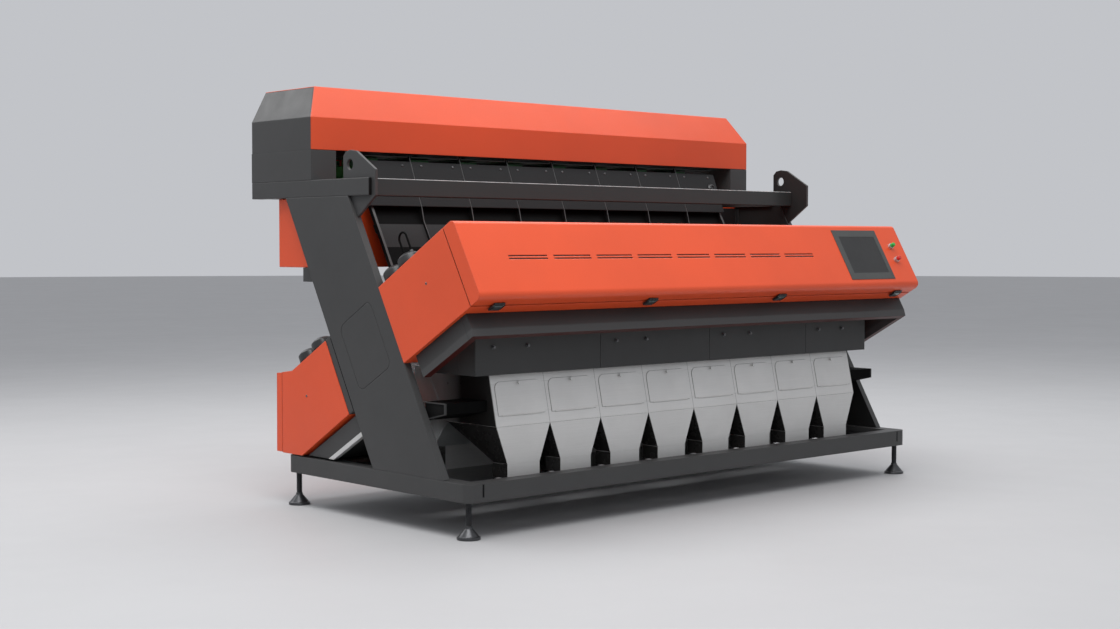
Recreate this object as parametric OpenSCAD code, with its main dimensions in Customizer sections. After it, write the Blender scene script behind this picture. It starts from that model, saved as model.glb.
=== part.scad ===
// Optical colour sorter for grain: eight inclined lanes between a front and a rear optical box.
// +X right along the machine, +Y to the back, +Z up, origin on the floor under the middle. Millimetres.

/* [Lanes] */
// number of chute lanes
lanes = 8; // [4:2:8]
// width of one lane, rib to rib
lane_pitch = 320; // [280:5:340]
// chute slope from the floor, degrees
chute_angle = 60.5; // [55:0.5:65]

/* [Base] */
// overall length of the machine
length = 3120; // [3000:10:3300]
// depth of the base frame
base_depth = 1400; // [1300:10:1500]
// width of a base rail
rail_w = 80; // [70:5:100]
// height of a base rail
rail_h = 82; // [70:1:100]
// floor to the underside of the base rails
rail_z = 160; // [140:5:200]
// wall of the base rails
rail_t = 5; // [4:0.5:8]

/* [Uprights] */
// depth of an upright across its slope
upright_d = 450; // [400:10:500]
// thickness of an upright
upright_t = 36; // [30:1:60]
// height of the underside of the top arms
arm_z = 1491; // [1450:1:1550]
// height of a top arm
arm_h = 81; // [70:1:90]
// diameter of the hole in a lifting lug
lug_bore = 49; // [40:1:60]

/* [Hood] */
// height of the top of the hood
hood_top = 2027; // [1950:1:2100]
// height of the fold between the upright and the sloped hood sheets
hood_fold = 1872; // [1800:1:1900]
// height of the lower edge of the hood front
hood_low = 1718; // [1690:1:1750]
// depth of the hood
hood_d = 527; // [480:1:560]

/* [Front box] */
// depth of the front optical box with its cover
box_d = 617; // [580:1:650]
// height of the optical boxes across their slope
box_h = 382; // [350:1:420]
// depth of the hinged front cover
cover_d = 76; // [60:1:90]
// sheet thickness of the covers
cover_t = 3; // [2:0.5:4]

/* [Hoppers] */
// width of an outlet spout
spout_w = 192; // [150:2:220]
// depth of an outlet spout
spout_d = 102; // [80:2:130]
// height of the lower edge of the spouts
spout_z = 222; // [220:1:230]

/* [Hidden] */
$fn = 64;
lean = 90 - chute_angle;
hl = length / 2;
by0 = -815;
by1 = by0 + base_depth;
top_rail = rail_z + rail_h;
o_y = by0 + 173;
o_z = top_rail + 0.5;
ux = hl - upright_t;
hop = lanes * lane_pitch / 2;
hy0 = 359.5;
hy1 = hy0 + hood_d;
bs0 = 570;
bs1 = bs0 + box_h + 1;
cv0 = -box_d;
cv1 = -box_d + cover_d;
arm_top = arm_z + arm_h;
chute_v = 240;
chute_x = 1246;
face_a = 12.58;
face_len = 249;
foot_x = hl - 40;
foot_y0 = by0 + 50;
foot_y1 = by1 - 45;
function lane_x(i) = (i - (lanes - 1) / 2) * lane_pitch;
function lw(v, s) = [o_y + v * cos(lean) + s * sin(lean), o_z - v * sin(lean) + s * cos(lean)];
function vz(v, z) = lw(v, (z - o_z + v * sin(lean)) / cos(lean));
function unit(a) = a / norm(a);
function nrm(a, b) = let(d = unit(b - a)) [-d[1], d[0]];
function mitre(p, i, t) = i == 0 ? p[0] + nrm(p[0], p[1]) * t
    : i == len(p) - 1 ? p[i] + nrm(p[i - 1], p[i]) * t
    : let(a = nrm(p[i - 1], p[i]), b = nrm(p[i], p[i + 1]), m = unit(a + b)) p[i] + m * (t / (m * a));
orange = [0.86, 0.30, 0.16];
grey = [0.24, 0.24, 0.24];
dark = [0.16, 0.16, 0.16];
steel = [0.66, 0.66, 0.65];
black = [0.04, 0.04, 0.04];
zinc = [0.7, 0.7, 0.72];

// ---- helpers ----
// sheet bent along a line of points
module bent(p, t) polygon(concat(p, [for (i = [len(p) - 1 : -1 : 0]) mitre(p, i, t)]));
// profile in Y and Z drawn out along X
module yz(x0, x1) translate([x0, 0, 0]) rotate([90, 0, 90]) linear_extrude(x1 - x0) children();
// profile in X and Z drawn out along Y
module xz(y0, y1) translate([0, y1, 0]) rotate([90, 0, 0]) linear_extrude(y1 - y0) children();
// frame of the sloping chute: Y across the slope to the back, Z up the slope
module sloped() translate([0, o_y, o_z]) rotate([-lean, 0, 0]) children();
// frame of the hopper face: Y inward, Z up the face
module on_face() translate([0, -666.5, 457]) rotate([-face_a, 0, 0]) children();
// frame of the feeder guards: Y backward, Z up the guard
module on_guard() translate([0, 281.5, 1455]) rotate([-22.02, 0, 0]) children();
module box(a, b) translate(a) cube(b - a);
module tube_x(x0, x1, y0, y1, z0, z1, t) difference() {
    box([x0, y0, z0], [x1, y1, z1]);
    box([x0 - 1, y0 + t, z0 + t], [x1 + 1, y1 - t, z1 - t]);
}
module rrect(w, d, r) {
    square([w - 2 * r, d], center = true);
    square([w, d - 2 * r], center = true);
    for (i = [-1, 1], j = [-1, 1]) translate([i * (w / 2 - r), j * (d / 2 - r)]) circle(r);
}
module both() { children(); mirror([1, 0, 0]) children(); }

// ---- base ----
module rail_long(y0, y1) difference() {
    translate([0, 0, rail_z]) linear_extrude(rail_h) intersection() {
        translate([0, (by0 + by1) / 2]) rrect(length, base_depth, 45);
        translate([-hl, y0]) square([length, y1 - y0]);
    }
    box([-hl + 50, y0 + rail_t, rail_z + rail_t], [hl - 50, y1 - rail_t, top_rail - rail_t]);
    for (i = [-1, 1]) translate([i * foot_x, y0 < 0 ? foot_y0 : foot_y1, rail_z - 1]) cylinder(r = 14.05, h = 66);
    if (y0 < 0) for (i = [-1, 1]) box([i * 1478 - 5, y0 - 1, rail_z + 22], [i * 1478 + 5, y0 + rail_t + 1, top_rail - 4]);
}
module base_rails() color(grey) {
    rail_long(by0, by0 + rail_w);
    rail_long(by1 - rail_w, by1);
    both() difference() {
        box([-hl, by0 + rail_w + 0.3, rail_z], [-hl + rail_w, by1 - rail_w - 0.3, top_rail]);
        box([-hl + rail_t, by0 + rail_w - 1, rail_z + rail_t], [-hl + rail_w - rail_t, by1 - rail_w + 1, top_rail - rail_t]);
    }
}
module base_tray() color(black) difference() {
    box([-hl + rail_w, by0 + rail_w, 212], [hl - rail_w, by1 - rail_w, 218]);
    for (i = [0 : lanes - 1]) box([lane_x(i) - spout_w / 2 - 5, -672, 200], [lane_x(i) + spout_w / 2 + 5, -666.5 + spout_d + 6, 230]);
    for (i = [0 : lanes / 2 - 1]) translate([(i - (lanes / 2 - 1) / 2) * 2 * lane_pitch, 0, 0]) box([-256, -221, 200], [256, -109, 230]);
}
module levelling_foot(x, y) color(zinc) translate([x, y, 0]) {
    cylinder(r = 52, h = 12);
    translate([0, 0, 12]) cylinder(r1 = 47, r2 = 19, h = 36);
    cylinder(r = 14, h = rail_z + 58);
}

// ---- uprights, arms and beams ----
module upright_side() difference() {
    yz(-hl, -ux) polygon([vz(0, o_z), vz(upright_d, o_z), vz(upright_d, arm_z), vz(0, arm_z)]);
    yz(-hl + 6, -ux - 5) polygon([vz(6, o_z + 6), vz(upright_d - 6, o_z + 6), vz(upright_d - 6, arm_z - 6), vz(6, arm_z - 6)]);
    sloped() translate([-hl - 1, upright_d / 2, bs0 + 200]) rotate([90, 0, 90]) linear_extrude(4) rrect(275, 335, 40);
}
module uprights() color(grey) both() upright_side();
module upright_covers() color(dark) both()
    sloped() translate([-hl + 0.5, upright_d / 2, bs0 + 200]) rotate([90, 0, 90]) linear_extrude(2.5) rrect(272, 332, 38.5);
module top_arms() color(grey) both() difference() {
    union() {
        box([-hl, -101.5, arm_z], [-hl + 15, 123, arm_top]);
        box([-hl, 122, arm_z], [-hl + 60, hy1, arm_top]);
    }
    box([-hl + 5, 127, arm_z + 5], [-hl + 55, hy1 - 5, arm_top - 5]);
}
module lifting_lugs() color(grey) both() yz(-hl + 17, -hl + 32) difference() {
    polygon([[121.5, arm_z + 1], vz(-0.5, arm_z + 1), vz(-0.5, 1392), [-129, 1490], [-129, 1608], [19, 1697], [66, 1703], [100, 1697], [121.5, 1675]]);
    translate([68, 1636]) circle(d = lug_bore);
}
module cross_beams() color(grey) {
    tube_x(-hl + 32, hl - 32, -15.5, 64.5, arm_z + 1, arm_z + 82, 4);
    tube_x(-hl + 60, hl - 60, 520, 600, arm_z + 1, arm_top, 4);
    tube_x(-hl + 60, hl - 60, 790, 870, arm_z + 1, arm_top, 4);
    sloped() tube_x(-ux, ux, chute_v + 4, chute_v + 54, 1010, 1060, 4);
    sloped() tube_x(-chute_x + 20, chute_x - 20, chute_v + 4, chute_v + 54, 1400, 1450, 4);
}

// ---- hood ----
module hood_front() color(orange) intersection() {
    yz(-hl, hl) bent([[hy0, hood_low], [hy0, hood_fold], [hy0 + 92, hood_top]], -4);
    xz(hy0 - 1, hy0 + 120) polygon([[-hl, 1700], [-hl, hood_fold], [-hl + 83, hood_top], [hl - 83, hood_top], [hl, hood_fold], [hl, 1700]]);
}
module hood_shell() color(orange) {
    box([-1476, hy0 + 97.5, hood_top - 4], [1476, 560, hood_top]);
    box([-1476, 760, hood_top - 4], [1476, hy1, hood_top]);
    both() box([-1476, 560.3, hood_top - 4], [-1300, 759.7, hood_top]);
    xz(hy1 - 4, hy1) polygon([[-1414, arm_top + 2], [1414, arm_top + 2], [1414, hood_low - 1], [hl - 5, hood_low - 1], [hl - 5, hood_fold - 1],
        [hl - 88, hood_top - 4.2], [-hl + 88, hood_top - 4.2], [-hl + 5, hood_fold - 1], [-hl + 5, hood_low - 1], [-1414, hood_low - 1]]);
}
module hood_ends() color(grey) both() {
    intersection() {
        xz(hy0, hy1) bent([[-hl, hood_low - 1.7], [-hl, hood_fold], [-hl + 83, hood_top]], -4);
        yz(-hl - 1, 0) polygon([[hy0 + 5, 1700], [hy0 + 5, hood_fold - 1.5], [hy0 + 96.3, hood_top - 4.2], [hy1 - 4.5, hood_top - 4.2], [hy1 - 4.5, 1700]]);
    }
    difference() {
        box([-hl, hy0, arm_top], [-hl + 142, hy1, hood_low - 2]);
        box([-hl + 4, hy0 + 4, arm_top + 4], [-hl + 138, hy1 - 4, hood_low - 6]);
    }
}
module feed_bin() color(steel) {
    yz(-1410, 1410) bent([[545, 2018], [600, 1790]], -4);
    yz(-1410, 1410) bent([[775, 2018], [700, 1790]], 4);
}

// ---- feeders and chutes ----
module feeder_tray() difference() {
    box([-150, 385, 1700], [150, 800, 1760]);
    box([-147, 384, 1704], [147, 797, 1761]);
}
module feeder_trays() color(steel) for (i = [0 : lanes - 1]) translate([lane_x(i), 0, 0]) feeder_tray();
module vibrator() {
    box([-80, 500, arm_top], [80, 860, arm_top + 18]);
    box([-62, 560, arm_top + 18], [62, 740, 1660]);
    translate([0, 650, 1659]) cylinder(r = 52, h = 37);
    for (y = [506, 840]) box([-55, y, arm_top + 18], [55, y + 5, 1697]);
}
module vibrators() color([0.13, 0.42, 0.15]) for (i = [0 : lanes - 1]) translate([lane_x(i), 0, 0]) vibrator();
module feeder_guards() color(dark) on_guard() for (i = [0 : lanes - 1])
    box([lane_x(i) - lane_pitch / 2 + 4, 0, 0], [lane_x(i) + lane_pitch / 2 - 4, 4, 242]);
module chute_plates() color([0.35, 0.35, 0.36]) sloped() for (i = [0 : lanes - 1])
    box([max(lane_x(i) - 157, -chute_x + 0.3), chute_v, 965], [min(lane_x(i) + 157, chute_x - 0.3), chute_v + 4, 1760]);
module chute_ribs() color(steel) sloped() {
    for (i = [1 : lanes - 1]) yz(lane_x(i) - lane_pitch / 2 - 2.5, lane_x(i) - lane_pitch / 2 + 2.5)
        polygon([[chute_v - 12, 965], [chute_v + 4, 965], [chute_v + 4, 1755], [173, 1785], [177.8, 1742], [208.3, 1511], [chute_v - 12, 1440]]);
    both() box([-chute_x - 14, 222, 965], [-chute_x, chute_v + 3.7, 1735]);
}

// ---- front optical box ----
hinge_v = cv1 + 1.5;
hinge_s = bs1 + 6.5;
module hinge_fixed() {
    for (i = [-1, 1]) translate([i * 35 - 15, hinge_v, hinge_s]) rotate([0, 90, 0]) cylinder(r = 6, h = 30);
    translate([-50, hinge_v, hinge_s]) rotate([0, 90, 0]) cylinder(r = 3, h = 100);
    for (i = [-1, 1]) box([i * 35 - 15, hinge_v, bs1 + 0.3], [i * 35 + 15, hinge_v + 40, bs1 + 3.3]);
}
module hinge_moving() difference() {
    union() {
        translate([-19.5, hinge_v, hinge_s]) rotate([0, 90, 0]) cylinder(r = 6, h = 39);
        box([-19.5, hinge_v - 34, bs1 - 1], [19.5, hinge_v - 2, bs1 + 3]);
    }
    translate([-60, hinge_v, hinge_s]) rotate([0, 90, 0]) cylinder(r = 3.05, h = 120);
}
module front_box() color(orange) sloped() {
    both() box([-hl, cv1 + 6, bs0], [-hl + 4, 0, bs1]);
    box([-hl + 4.3, cv1 + 6, bs1 - 4], [hl - 4.3, -1, bs1]);
    box([-hl + 4.3, cv1 + 6, bs0], [hl - 4.3, -1, bs0 + 4]);
    box([-hl + 4.3, -6, bs0 + 4.3], [hl - 4.3, -2, 690]);
    box([-hl + 4.3, -6, 830], [hl - 4.3, -2, bs1 - 4.3]);
    for (x = [-1200, 0, 1200]) translate([x, 0, 0]) hinge_fixed();
}
function arc(c, r, a, b, n) = [for (i = [0 : n]) let(w = a + (b - a) * i / n) [c[0] + r * cos(w), c[1] + r * sin(w)]];
cover_line = concat([[cv1, bs1]], arc([cv0 + 24, bs1 - 24], 24, 90, 180, 6), arc([cv0 + 30, bs0 + 31], 30, 180, 270, 6), [[cv1, bs0 + 1]]);
module front_cover() color(orange) sloped() difference() {
    union() {
        yz(-hl + cover_t, hl - cover_t) bent(cover_line, cover_t);
        both() yz(-hl, -hl + cover_t) polygon(cover_line);
        for (x = [-1200, 0, 1200]) translate([x, 0, 0]) hinge_moving();
    }
    for (g = [0 : 7], s = [754, 768]) box([-1324 + g * 264.6, cv0 - 1, s], [-1097 + g * 264.6, cv0 + cover_t + 1, s + 6]);
}
module screen_bezel() color(dark) sloped() difference() {
    box([990, cv0 - 3, 615], [1366, cv0, 913]);
    box([1030, cv0 - 4, 654], [1335, cv0 + 1, 873]);
}
module touch_screen() color(black) sloped() box([1030.3, cv0 - 2.2, 654.3], [1334.7, cv0, 872.7]);
module button_collars() color(zinc) sloped() for (s = [730, 812]) translate([1446, cv0, s]) rotate([90, 0, 0]) difference() {
    cylinder(r = 16, h = 15);
    translate([0, 0, -1]) cylinder(r = 11.4, h = 17);
}
module push_button(s) sloped() translate([1446, cv0 - 6, s]) rotate([90, 0, 0]) {
    cylinder(r = 11, h = 27);
    translate([0, 0, 27]) cylinder(r1 = 11, r2 = 9.5, h = 2);
}
module start_button() color([0.1, 0.6, 0.15]) push_button(812);
module stop_button() color([0.7, 0.08, 0.06]) push_button(730);
latch_x = [-1420, -480, 450, 1422];
latch_v = -565;
latch_s = 566;
module cover_latch(k) color(black) sloped() translate([latch_x[k - 1], 0, 0]) {
    box([-34, latch_v + 2, latch_s - 7], [34, latch_v + 51, latch_s]);
    translate([-30, latch_v, latch_s]) rotate([0, 90, 0]) cylinder(r = 4, h = 60);
    box([-24, latch_v + 8, latch_s - 11], [24, latch_v + 42, latch_s - 6]);
}
module window_glass() color([0.7, 0.8, 0.85, 0.4]) sloped() {
    box([-hl + 5, -6, 690.5], [hl - 5, -2, 829.5]);
    box([-hl + 5, 500, 690.5], [hl - 5, 504, 829.5]);
}
module camera_front() {
    box([-32, -330, 735], [32, -230, 785]);
    translate([0, -231, 760]) rotate([-90, 0, 0]) cylinder(r = 22, h = 32);
    box([-14, -300, bs0 + 4], [14, -260, 736]);
}
module cameras() color(dark) sloped() for (i = [0 : lanes - 1]) translate([lane_x(i), 0, 0]) {
    camera_front();
    difference() {
        translate([0, 500, 0]) mirror([0, 1, 0]) camera_front();
        box([-20, 700, 500], [20, 900, 557.5]);
    }
}
module lamp_bars() color([0.9, 0.9, 0.88]) sloped() for (v = [-60, 560], s = [650, 870])
    translate([-hl + 4, v, s]) rotate([0, 90, 0]) cylinder(r = 15, h = length - 8);
module valance() color(grey) sloped() {
    difference() {
        yz(-1540, 1540) polygon([[-475, bs0], [-475, 497], [-467, 463], [-436, 463], [-436, bs0]]);
        yz(-1536, 1536) polygon([[-471, bs0 - 4], [-471, 498], [-464, 467], [-440, 467], [-440, bs0 - 4]]);
    }
    both() difference() {
        box([-1540, -435.7, 463], [-1500, -71, bs0]);
        box([-1536, -431, 467], [-1504, -75, bs0 - 4]);
    }
}

// ---- rear optical box, bearer and cabinet ----
rb_a = lw(500, 936);
rb_f = lw(500, 553);
rb_b = [535.5, 655];
rb_c = [623.5, 643];
rb_d = [623.5, 249];
rb_e = [455.5, 249];
rear_hinge = [625, 649.5];
module rear_box() color(orange) {
    both() yz(-hl, -hl + 4) polygon([rb_a, rb_b, rb_c, rb_d, rb_e, rb_f]);
    yz(-hl + 4.3, hl - 4.3) bent([rb_a, rb_b, rb_c], -4);
    yz(-hl + 4.3, hl - 4.3) bent([rb_d, rb_e, rb_f], -4);
    sloped() box([-hl + 4.3, 500, 558], [hl - 4.3, 504, 690]);
    sloped() box([-hl + 4.3, 500, 830], [hl - 4.3, 504, 931]);
    for (x = [-1200, 0, 1200]) translate([x, rear_hinge[0], rear_hinge[1]]) {
        for (i = [-1, 1]) translate([i * 35 - 15, 0, 0]) {
            rotate([0, 90, 0]) cylinder(r = 5, h = 30);
            box([0, -24, -2], [30, 0, 1]);
        }
        translate([-50, 0, 0]) rotate([0, 90, 0]) cylinder(r = 2.5, h = 100);
    }
}
rear_line = [[626.5, 641], [671.5, 636.5], [674.5, 252], [626.5, 252]];
module rear_cover() color(orange) {
    yz(-hl + cover_t, hl - cover_t) bent(rear_line, -cover_t);
    both() yz(-hl, -hl + cover_t) polygon(rear_line);
    for (x = [-1200, 0, 1200]) translate([x, rear_hinge[0], rear_hinge[1]]) difference() {
        union() {
            translate([-19.5, 0, 0]) rotate([0, 90, 0]) cylinder(r = 5, h = 39);
            box([-19.5, 2, -11.5], [19.5, 28, -4.5]);
            box([-19.5, 2, -8], [19.5, 6, 2]);
        }
        translate([-60, 0, 0]) rotate([0, 90, 0]) cylinder(r = 2.55, h = 120);
    }
}
module rear_bearer() color(grey) {
    sloped() both() box([-hl + 4, upright_d, 553], [-ux, 500, 942]);
    difference() {
        yz(-1540, 1540) polygon([lw(452, 535), lw(930, 535), lw(782, 450), lw(452, 450)]);
        yz(-1536, 1536) polygon([lw(456, 531), lw(915, 531), lw(781, 454), lw(456, 454)]);
    }
    both() box([-ux + 0.2, 300, 1087], [-ux + 50, 490, 1154.7]);
}
module rear_stays() color(steel) both() yz(-1545, -1520) polygon([lw(452, 449), lw(775, 449), lw(738, 427), lw(452, 427)]);
module rear_cabinet() color(orange) difference() {
    box([-1520, 410, 1155], [1520, 706, arm_z - 2]);
    box([-1516, 414, 1159], [1516, 702, arm_z - 6]);
}
module ejector_bar() color([0.6, 0.6, 0.62]) sloped() {
    box([-hop - 10, 330, 585], [hop + 10, 380, 645]);
    for (i = [0 : lanes - 1]) box([lane_x(i) - 120, 380.3, 590], [lane_x(i) + 120, 430, 640]);
}
module gland_dome() intersection() {
    cylinder(r = 58, h = 62);
    translate([0, 0, -6]) sphere(r = 78);
}
module gland_domes() color([0.3, 0.31, 0.32]) {
    sloped() for (v = [-190, -66]) translate([-1490, v, bs1]) gland_dome();
    for (k = [0.35, 0.74]) let(p = rb_a + (rb_b - rb_a) * k + nrm(rb_a, rb_b) * 0.3, d = rb_b - rb_a)
        translate([-1490, p[0], p[1]]) rotate([atan2(d[1], d[0]), 0, 0]) gland_dome();
    on_guard() translate([1225, 0, 152]) rotate([90, 0, 0]) {
        cylinder(r = 28, h = 6);
        translate([0, 0, 6]) cylinder(r1 = 26, r2 = 18, h = 8);
    }
}
module camera_cable() color(black) sloped() translate([-1490, -190, bs1 + 62]) {
    for (i = [-1, 1]) translate([0, i * 28, 0]) cylinder(r = 5, h = 84, $fn = 24);
    translate([0, 0, 84]) rotate([90, 0, 90]) rotate_extrude(angle = 180, $fn = 48) translate([28, 0]) circle(r = 5, $fn = 24);
}

// ---- discharge ----
panel_x = [-1392, -632, 123, 879, 1392];
module discharge_panels() color(dark) {
    for (k = [0 : 3]) box([panel_x[k] + 1, -655.5, 687], [panel_x[k + 1] - 1, -651.5, 902]);
    both() yz(-1392, -1388) polygon([[-651, 687], [-540, 687], [-540, 835], [-651, 898]]);
    both() yz(-1389, -1385) polygon([[-539.5, 687], [-348, 687], [-348, 724], [-539.5, 833]]);
}
module panel_screws() color(zinc) {
    for (k = [0 : 3], d = [102, 303]) translate([panel_x[k] + d, -655.5, 813]) rotate([90, 0, 0]) {
        cylinder(r = 9, h = 5);
        translate([0, 0, 5]) cylinder(r = 7, h = 9);
    }
    both() for (p = [[-524.5, 1096], [411.5, 540]]) translate([-hl, p[0], p[1]]) rotate([0, -90, 0]) cylinder(r = 6, h = 2.5);
    on_guard() for (i = [0 : lanes - 1], j = [-1, 1]) translate([lane_x(i) + j * 101, 0, 220]) rotate([90, 0, 0]) cylinder(r = 6, h = 4);
}
module hopper_face() color(steel) on_face() {
    box([-hop, 0, 0], [hop, 4, 56]);
    box([-hop, 0, 192], [hop, 4, face_len]);
    for (i = [0 : lanes]) {
        x = lane_x(i) - lane_pitch / 2;
        box([max(x - 35, -hop), 0, 56.3], [min(x + 35, hop), 4, 191.7]);
    }
}
module hopper_door(k) color(steel) on_face() translate([lane_x(k - 1), -0.4, 0]) {
    rotate([90, 0, 0]) linear_extrude(2.5) {
        translate([-139, 49]) square([278, 118]);
        translate([-106, 160]) square([212, 40]);
        for (i = [-1, 1]) translate([i * 106, 167]) circle(33);
    }
    translate([-120, -2.9, 48]) rotate([0, 90, 0]) cylinder(r = 2.3, h = 240);
    translate([0, -2.4, 190]) rotate([90, 0, 0]) {
        cylinder(r = 4, h = 6);
        translate([0, 0, 6]) cylinder(r = 8, h = 7);
    }
}
module hopper_partitions() color(steel) for (i = [0 : lanes]) {
    x = lane_x(i) - lane_pitch / 2;
    x0 = i == 0 ? x : i == lanes ? x - 4 : x - 2;
    yz(x0, x0 + 4) polygon([[-661, 458], [-607, 700], [-165.5, 700], [-317, 458]]);
}
module funnel() {
    xz(-666.5, -662.5) polygon([[-159.5, 456], [159.5, 456], [spout_w / 2, 285.3], [-spout_w / 2, 285.3]]);
    both() translate([-159.5, 0, 456]) rotate([0, -atan((159.5 - spout_w / 2) / 169), 0])
        yz(0, 4) polygon([[-662, 0], [-322, 0], [-572, -180], [-662, -180]]);
    translate([0, -318, 455]) rotate([atan(165 / 248), 0, 0]) translate([0, 0, -4]) linear_extrude(4)
        polygon([[-153, 0], [153, 0], [spout_w / 2 - 8, -294], [8 - spout_w / 2, -294]]);
}
module hopper_funnels() color(steel) for (i = [0 : lanes - 1]) translate([lane_x(i), 0, 0]) funnel();
module spout(w, y0, y1, z1, z0) difference() {
    box([-w / 2, y0, z0], [w / 2, y1, z1]);
    box([-w / 2 + 3, y0 + 3, z0 - 1], [w / 2 - 3, y1 - 3, z1 + 1]);
}
module outlet_spouts() color(steel) {
    for (i = [0 : lanes - 1]) translate([lane_x(i), 0, 0]) spout(spout_w, -666.5, -666.5 + spout_d, 285, spout_z);
    for (i = [0 : lanes / 2 - 1]) translate([(i - (lanes / 2 - 1) / 2) * 2 * lane_pitch, 0, 0]) spout(500, -215, -115, 329, 211);
}
module rear_hopper() color(steel) {
    yz(-hop, hop) bent([[-315.5, 457], [-163.6, 700]], -4);
    yz(-hop, hop) bent([[-312, 452], [-215, 330]], -4);
    yz(-hop, hop) bent([[-33, 404], [-115, 330]], 4);
    both() yz(-hop - 4, -hop) polygon([[-312, 452], [-214, 331], [-117, 331], [-36, 404], [-80, 470], [-80, 699], [-164, 699]]);
}
module hopper_brackets() color(grey) both() yz(-ux + 1, -hop - 5) bent([[-456, 572], [-605, 572], [-605, 522], [-447, 486]], 5);

base_rails();
base_tray();
uprights();
upright_covers();
top_arms();
lifting_lugs();
cross_beams();
hood_front();
hood_shell();
hood_ends();
feed_bin();
feeder_guards();
vibrators();
chute_plates();
chute_ribs();
front_box();
window_glass();
cameras();
lamp_bars();
valance();
discharge_panels();
panel_screws();
hopper_face();
hopper_funnels();
hopper_partitions();
outlet_spouts();
rear_hopper();
hopper_brackets();
rear_box();
rear_bearer();
rear_stays();
rear_cabinet();
ejector_bar();
gland_domes();
camera_cable();
front_cover();
screen_bezel();
touch_screen();
button_collars();
start_button();
stop_button();
cover_latch(1);  // cover_latch_1
cover_latch(2);  // cover_latch_2
cover_latch(3);  // cover_latch_3
cover_latch(4);  // cover_latch_4
hopper_door(1);  // hopper_door_1
hopper_door(2);  // hopper_door_2
hopper_door(3);  // hopper_door_3
hopper_door(4);  // hopper_door_4
hopper_door(5);  // hopper_door_5
hopper_door(6);  // hopper_door_6
hopper_door(7);  // hopper_door_7
hopper_door(8);  // hopper_door_8
feeder_trays();
levelling_foot(-foot_x, foot_y0);  // levelling_foot_1
levelling_foot(foot_x, foot_y0);  // levelling_foot_2
levelling_foot(-foot_x, foot_y1);  // levelling_foot_3
levelling_foot(foot_x, foot_y1);  // levelling_foot_4
rear_cover();
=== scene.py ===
import math
from math import cos, pi, radians, sin

import bmesh
import bpy
from mathutils import Matrix, Vector


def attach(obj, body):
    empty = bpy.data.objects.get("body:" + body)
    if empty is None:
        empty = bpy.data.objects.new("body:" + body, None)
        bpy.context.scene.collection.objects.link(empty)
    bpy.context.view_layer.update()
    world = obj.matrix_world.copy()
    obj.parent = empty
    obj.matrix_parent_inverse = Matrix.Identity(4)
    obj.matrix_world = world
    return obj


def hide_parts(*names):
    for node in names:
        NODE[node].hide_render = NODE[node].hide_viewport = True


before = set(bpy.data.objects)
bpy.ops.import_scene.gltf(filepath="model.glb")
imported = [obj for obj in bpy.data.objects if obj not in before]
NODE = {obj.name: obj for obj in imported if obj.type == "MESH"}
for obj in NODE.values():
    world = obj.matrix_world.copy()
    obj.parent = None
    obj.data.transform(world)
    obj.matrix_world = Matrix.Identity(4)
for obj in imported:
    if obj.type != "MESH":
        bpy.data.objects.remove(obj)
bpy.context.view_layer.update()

SCENE = bpy.context.scene
SCENE.view_settings.view_transform = "Standard"

# ------------------------------------------------------------------ frames of the part, as in the CAD (millimetres)
I4 = Matrix.Identity(4)


def shift(x, y, z):
    return Matrix.Translation((x, y, z))


def turn(deg, axis):
    return Matrix.Rotation(radians(deg), 4, axis)


SLOPE = shift(0, -642, 242.5) @ turn(-29.5, "X")  # Y across the slope to the back, Z up the slope
FACE = shift(0, -666.5, 457) @ turn(-12.58, "X")  # hopper face: Y inward, Z up the face
GUARD = shift(0, 281.5, 1455) @ turn(-22.02, "X")  # feeder guards: Y backward, Z up
HL, UX, HOP = 1560.0, 1524.0, 1280.0
CV0, CV1, BS0, BS1 = -617.0, -541.0, 570.0, 953.0
LANES, PITCH = 8, 320.0
LANE = [(i - 3.5) * PITCH for i in range(LANES)]
PANEL_X = [-1392, -632, 123, 879, 1392]
LATCH_X = [-1420, -480, 450, 1422]
FEET = [(-1520, -765), (1520, -765), (-1520, 540), (1520, 540)]

# ------------------------------------------------------------------ mesh kit


def box(bm, a, b, bev=0.0, seg=2, M=I4):
    size = [b[i] - a[i] for i in range(3)]
    mid = [(a[i] + b[i]) / 2 for i in range(3)]
    made = bmesh.ops.create_cube(bm, size=1, matrix=M @ shift(*mid) @ Matrix.Diagonal((*size, 1)))
    if bev:
        edges = list({e for v in made["verts"] for e in v.link_edges})
        bmesh.ops.bevel(bm, geom=edges, offset=bev, segments=seg, profile=0.5, affect="EDGES", clamp_overlap=True)


def prism(bm, pts, lo, hi, axis="X", M=I4, bev=0.0, seg=2):
    """A profile drawn out from lo to hi along an axis. The profile is in the other two axes."""

    def at(p, h):
        return M @ Vector({"X": (h, p[0], p[1]), "Y": (p[0], h, p[1]), "Z": (p[0], p[1], h)}[axis])

    low = [bm.verts.new(at(p, lo)) for p in pts]
    top = [bm.verts.new(at(p, hi)) for p in pts]
    faces = [bm.faces.new(low[::-1]), bm.faces.new(top)]
    n = len(pts)
    for i in range(n):
        faces.append(bm.faces.new((low[i], low[(i + 1) % n], top[(i + 1) % n], top[i])))
    bmesh.ops.recalc_face_normals(bm, faces=faces)
    if bev:
        edges = [e for e in {e for f in faces for e in f.edges} if e.calc_face_angle(0) > radians(25)]
        bmesh.ops.bevel(bm, geom=edges, offset=bev, segments=seg, profile=0.5, affect="EDGES", clamp_overlap=True)


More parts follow.
